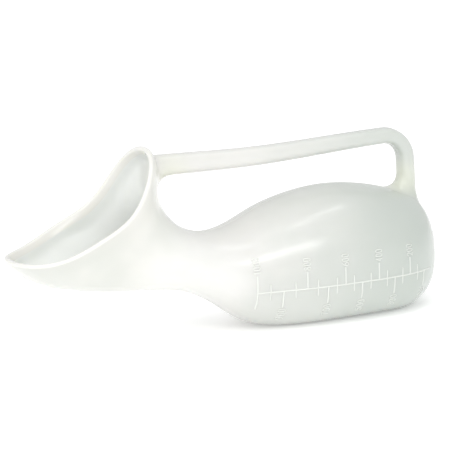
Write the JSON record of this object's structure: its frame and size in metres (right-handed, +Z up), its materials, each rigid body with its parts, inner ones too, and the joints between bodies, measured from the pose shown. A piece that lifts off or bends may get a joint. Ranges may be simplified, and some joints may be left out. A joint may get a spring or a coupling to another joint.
{
  "type": "female urinal bottle",
  "caption": "Translucent blow-moulded female urinal bottle: scooped wide mouth, flat-bottomed graduated reservoir and a loop handle along the top.",
  "frame": {"origin": "bottom centre of the bounding box, on the plane that the flat underside rests on", "axes": "+X from the mouth's tip to the rear base, +Y to the side without the scale, +Z up; the scale is on the -Y side"},
  "size_m": [0.3242, 0.1017, 0.1397],
  "materials": {
    "vessel": "translucent polyethylene, soft satin gloss",
    "handle": "thicker translucent polyethylene, satin",
    "scale": "raised moulded marks, satin"
  },
  "bodies": {
    "root": {"reservoir": "vessel", "mouth_funnel": "vessel", "rim_bead": "vessel", "front_handle_root": "vessel", "rear_handle_root": "vessel", "vessel_seam": "vessel", "handle": "handle", "handle_seam": "handle", "scale_baseline": "scale", "half_marks": "scale", "graduation_100": "scale", "graduation_200": "scale", "graduation_300": "scale", "graduation_400": "scale", "graduation_500": "scale", "graduation_600": "scale", "graduation_700": "scale", "graduation_800": "scale", "graduation_900": "scale", "graduation_1000": "scale"}
  },
  "joints": []
}
